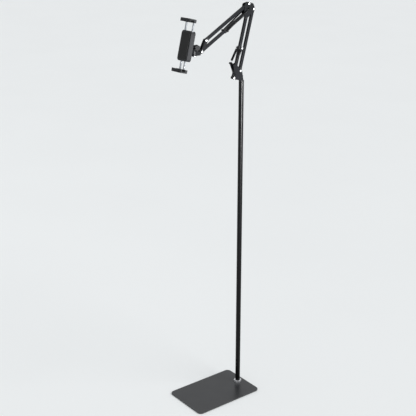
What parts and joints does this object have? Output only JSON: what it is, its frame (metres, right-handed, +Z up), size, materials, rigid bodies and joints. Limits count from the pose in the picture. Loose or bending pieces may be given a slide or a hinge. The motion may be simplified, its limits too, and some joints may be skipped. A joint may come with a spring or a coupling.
{
  "type": "adjustable tablet floor stand",
  "caption": "Floor stand with a flat base, a slim pole and a sprung two-link arm that keeps its head level, ending in a tilting, turning clamp with sliding jaws for a tablet",
  "frame": {"origin": "Middle of the base plate's outline, on the floor, under the foam mat.", "axes": "+Z up; -Y is the front, where the clamp faces; +X is the stand's own left side, where the tilt knob is. The pole stands at +Y, near the rear edge."},
  "size_m": [0.2, 0.346, 1.5287],
  "materials": {
    "plate_paint": "satin powder coat, dark grey",
    "pole_paint": "satin black paint",
    "arm_paint": "satin charcoal paint",
    "elbow_paint": "satin black paint",
    "bright_steel": "bright nickel plate",
    "spring_black": "black oxide, slightly glossy",
    "plain_steel": "zinc plate",
    "black_plastic": "fine matt black moulding",
    "clamp_plastic": "fine matt charcoal moulding",
    "soft_rubber": "matt black foam and rubber"
  },
  "bodies": {
    "stand": {"base_plate": "plate_paint", "floor_mat": "soft_rubber", "base_bolt": "plain_steel", "foot_nut": "bright_steel", "foot_insert": "plain_steel", "lower_tube": "pole_paint", "middle_tube": "pole_paint", "upper_tube": "pole_paint", "joint_studs": "plain_steel", "joint_nuts": "plain_steel", "top_bush": "black_plastic"},
    "bracket": {"swivel_post": "arm_paint", "bracket_left_cheek": "arm_paint", "bracket_right_cheek": "arm_paint", "bracket_rivets": "bright_steel", "block_rivets": "elbow_paint", "horn_pins": "spring_black", "lower_spring_left": "spring_black", "lower_spring_right": "spring_black"},
    "lower_rear_bar": {"lower_rear_tube": "arm_paint", "lower_rear_eyes": "black_plastic"},
    "lower_front_bar": {"lower_front_tube": "arm_paint", "lower_front_eyes": "black_plastic", "lower_collar": "black_plastic", "lower_hook_bolt": "bright_steel"},
    "elbow": {"elbow_left_cheek": "elbow_paint", "elbow_right_cheek": "elbow_paint", "elbow_rivets": "bright_steel", "elbow_pins": "elbow_paint", "elbow_hook_bolt": "spring_black", "upper_spring_left": "spring_black", "upper_spring_right": "spring_black"},
    "upper_top_bar": {"upper_top_tube": "arm_paint", "upper_top_eyes": "black_plastic"},
    "upper_low_bar": {"upper_low_tube": "arm_paint", "upper_low_eyes": "black_plastic", "upper_collar": "black_plastic", "upper_hook_bolt": "spring_black"},
    "head": {"head_bracket": "elbow_paint", "head_rivets": "bright_steel"},
    "yoke": {"tilt_yoke": "elbow_paint", "yoke_screw": "plain_steel", "tilt_bolt": "plain_steel"},
    "knob": {"tilt_knob": "black_plastic"},
    "hub": {"tilt_hub": "black_plastic", "hub_nut": "plain_steel"},
    "holder": {"back_cover": "clamp_plastic", "front_cover": "clamp_plastic", "face_pad": "soft_rubber", "cover_screws": "plain_steel", "upper_jaw_springs": "plain_steel", "lower_jaw_springs": "plain_steel"},
    "upper_jaw": {"upper_jaw": "clamp_plastic", "upper_slide": "plain_steel", "upper_jaw_pad": "soft_rubber"},
    "lower_jaw": {"lower_jaw": "clamp_plastic", "lower_slide": "plain_steel", "lower_jaw_pad": "soft_rubber"}
  },
  "joints": [
    {"name": "bracket_swivel", "type": "hinge", "parent": "stand", "child": "bracket", "pos_m": [0, 0.119, 1.248], "axis": [0, 0, 1], "continuous": true},
    {"name": "lower_arm", "type": "hinge", "parent": "bracket", "child": "lower_rear_bar", "pos_m": [0, 0.1102, 1.2875], "axis": [1, 0, 0], "range_deg": [-17, 15], "deforming": ["lower_spring_left", "lower_spring_right"]},
    {"name": "lower_arm_front", "type": "hinge", "parent": "bracket", "child": "lower_front_bar", "pos_m": [0, 0.0803, 1.265], "axis": [1, 0, 0], "range_deg": [-17, 15]},
    {"name": "elbow_level", "type": "hinge", "parent": "lower_rear_bar", "child": "elbow", "pos_m": [0, 0.16792, 1.5029], "axis": [1, 0, 0], "range_deg": [-15, 17]},
    {"name": "upper_arm", "type": "hinge", "parent": "elbow", "child": "upper_top_bar", "pos_m": [0, 0.14642, 1.5234], "axis": [1, 0, 0], "range_deg": [-65, 13], "deforming": ["upper_spring_left", "upper_spring_right"]},
    {"name": "upper_arm_low", "type": "hinge", "parent": "elbow", "child": "upper_low_bar", "pos_m": [0, 0.12742, 1.487], "axis": [1, 0, 0], "range_deg": [-65, 13]},
    {"name": "head_level", "type": "hinge", "parent": "upper_top_bar", "child": "head", "pos_m": [0, -0.04553, 1.40989], "axis": [1, 0, 0], "range_deg": [-13, 65]},
    {"name": "head_pan", "type": "hinge", "parent": "head", "child": "yoke", "pos_m": [0, -0.09553, 1.39048], "axis": [0, 0, 1], "range_deg": [-60, 60]},
    {"name": "holder_tilt", "type": "hinge", "parent": "yoke", "child": "hub", "pos_m": [0, -0.09553, 1.39048], "axis": [-1, 0, 0], "range_deg": [-30, 40]},
    {"name": "tilt_knob_turn", "type": "hinge", "parent": "yoke", "child": "knob", "pos_m": [0.015, -0.09553, 1.39048], "axis": [1, 0, 0], "continuous": true},
    {"name": "holder_rotate", "type": "hinge", "parent": "hub", "child": "holder", "pos_m": [0, -0.12274, 1.39707], "axis": [0, -0.972, 0.2351], "continuous": true},
    {"name": "upper_jaw_slide", "type": "slide", "parent": "holder", "child": "upper_jaw", "axis": [0, 0.2351, 0.972], "range_m": [-0.0275, 0.02], "deforming": ["upper_jaw_springs"]},
    {"name": "lower_jaw_slide", "type": "slide", "parent": "holder", "child": "lower_jaw", "axis": [0, -0.2351, -0.972], "range_m": [-0.0275, 0.02], "deforming": ["lower_jaw_springs"]}
  ],
  "couplings": [
    {"joint": "lower_arm_front", "follows": "lower_arm", "ratio": 1},
    {"joint": "elbow_level", "follows": "lower_arm", "ratio": -1},
    {"joint": "upper_arm_low", "follows": "upper_arm", "ratio": 1},
    {"joint": "head_level", "follows": "upper_arm", "ratio": -1}
  ]
}
